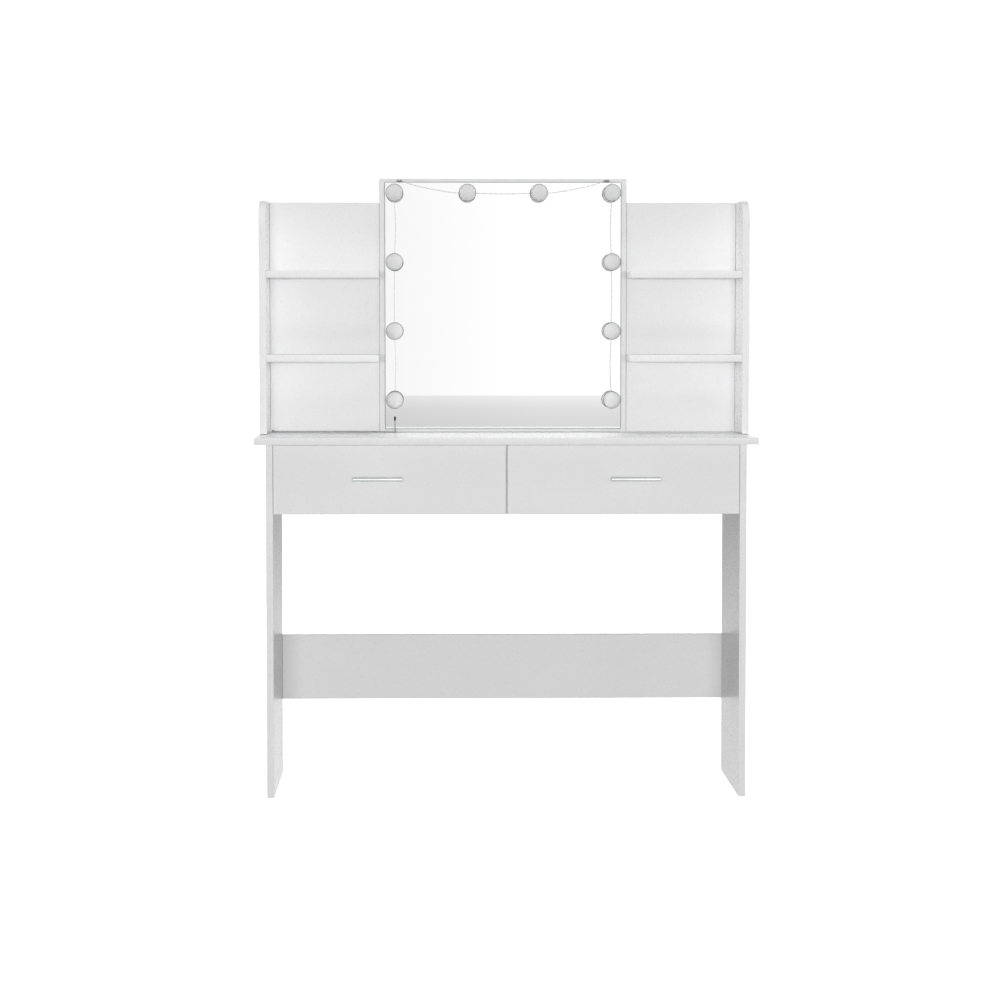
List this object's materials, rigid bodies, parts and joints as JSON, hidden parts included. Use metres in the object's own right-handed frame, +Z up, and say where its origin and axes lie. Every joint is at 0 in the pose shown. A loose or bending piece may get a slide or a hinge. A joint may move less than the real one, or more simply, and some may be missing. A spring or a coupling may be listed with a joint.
{
  "type": "vanity table with mirror",
  "caption": "White vanity table with two drawers, open side shelves and an upright mirror ringed by bulbs.",
  "frame": {"origin": "on the floor, below the middle of the whole object's box", "axes": "+X to the viewer's right along the desktop, -Y towards the sitter, +Z up"},
  "size_m": [1.08, 0.416, 1.344],
  "materials": {
    "board": "white melamine, satin, 15 mm board with matching edge band",
    "drawer_board": "white foil-wrapped 12 mm board",
    "drawer_panel": "white-lacquered 3 mm hardboard",
    "handle": "bright chrome",
    "mirror_glass": "silvered float glass",
    "bulb": "frosted white plastic, unlit",
    "wire": "clear-white insulated wire",
    "lead": "soft grey insulated lead",
    "connector": "dark moulded sleeve",
    "plug": "moulded grey grip with a plated shell",
    "clip": "small adhesive wire clip",
    "glide": "white nylon",
    "runner": "white epoxy-coated pressed steel with nylon rollers",
    "plate": "zinc-plated flat plate"
  },
  "bodies": {
    "carcass": {"desktop": "board", "left_leg_panel": "board", "right_leg_panel": "board", "drawer_divider": "board", "rear_rail": "board", "lower_stretcher": "board", "left_hutch_side": "board", "right_hutch_side": "board", "left_back_panel": "board", "right_back_panel": "board", "left_lower_shelf": "board", "left_upper_shelf": "board", "right_lower_shelf": "board", "right_upper_shelf": "board", "mirror_board": "board", "left_leg_runner": "runner", "left_divider_runner": "runner", "left_front_glide": "glide", "left_rear_glide": "glide", "left_joining_plate": "plate", "left_wire_clip": "clip", "right_leg_runner": "runner", "right_divider_runner": "runner", "right_front_glide": "glide", "right_rear_glide": "glide", "right_joining_plate": "plate", "right_wire_clip": "clip", "mirror_glass": "mirror_glass", "light_bulb_01": "bulb", "light_bulb_02": "bulb", "light_bulb_03": "bulb", "light_bulb_04": "bulb", "light_bulb_05": "bulb", "light_bulb_06": "bulb", "light_bulb_07": "bulb", "light_bulb_08": "bulb", "light_bulb_09": "bulb", "light_bulb_10": "bulb", "light_wire": "wire", "light_lead": "lead", "light_lead_coil": "lead", "light_lead_tail": "lead", "lead_connector": "connector", "lead_plug": "plug"},
    "left_drawer": {"left_drawer_front": "board", "left_drawer_inner_side": "drawer_board", "left_drawer_outer_side": "drawer_board", "left_drawer_back": "drawer_board", "left_drawer_bottom": "drawer_panel", "left_drawer_handle": "handle", "left_drawer_inner_runner": "runner", "left_drawer_outer_runner": "runner"},
    "right_drawer": {"right_drawer_front": "board", "right_drawer_inner_side": "drawer_board", "right_drawer_outer_side": "drawer_board", "right_drawer_back": "drawer_board", "right_drawer_bottom": "drawer_panel", "right_drawer_handle": "handle", "right_drawer_inner_runner": "runner", "right_drawer_outer_runner": "runner"}
  },
  "joints": [
    {"name": "left_drawer_slide", "type": "slide", "parent": "carcass", "child": "left_drawer", "axis": [0, -1, 0], "range_m": [0, 0.22]},
    {"name": "right_drawer_slide", "type": "slide", "parent": "carcass", "child": "right_drawer", "axis": [0, -1, 0], "range_m": [0, 0.22]}
  ]
}
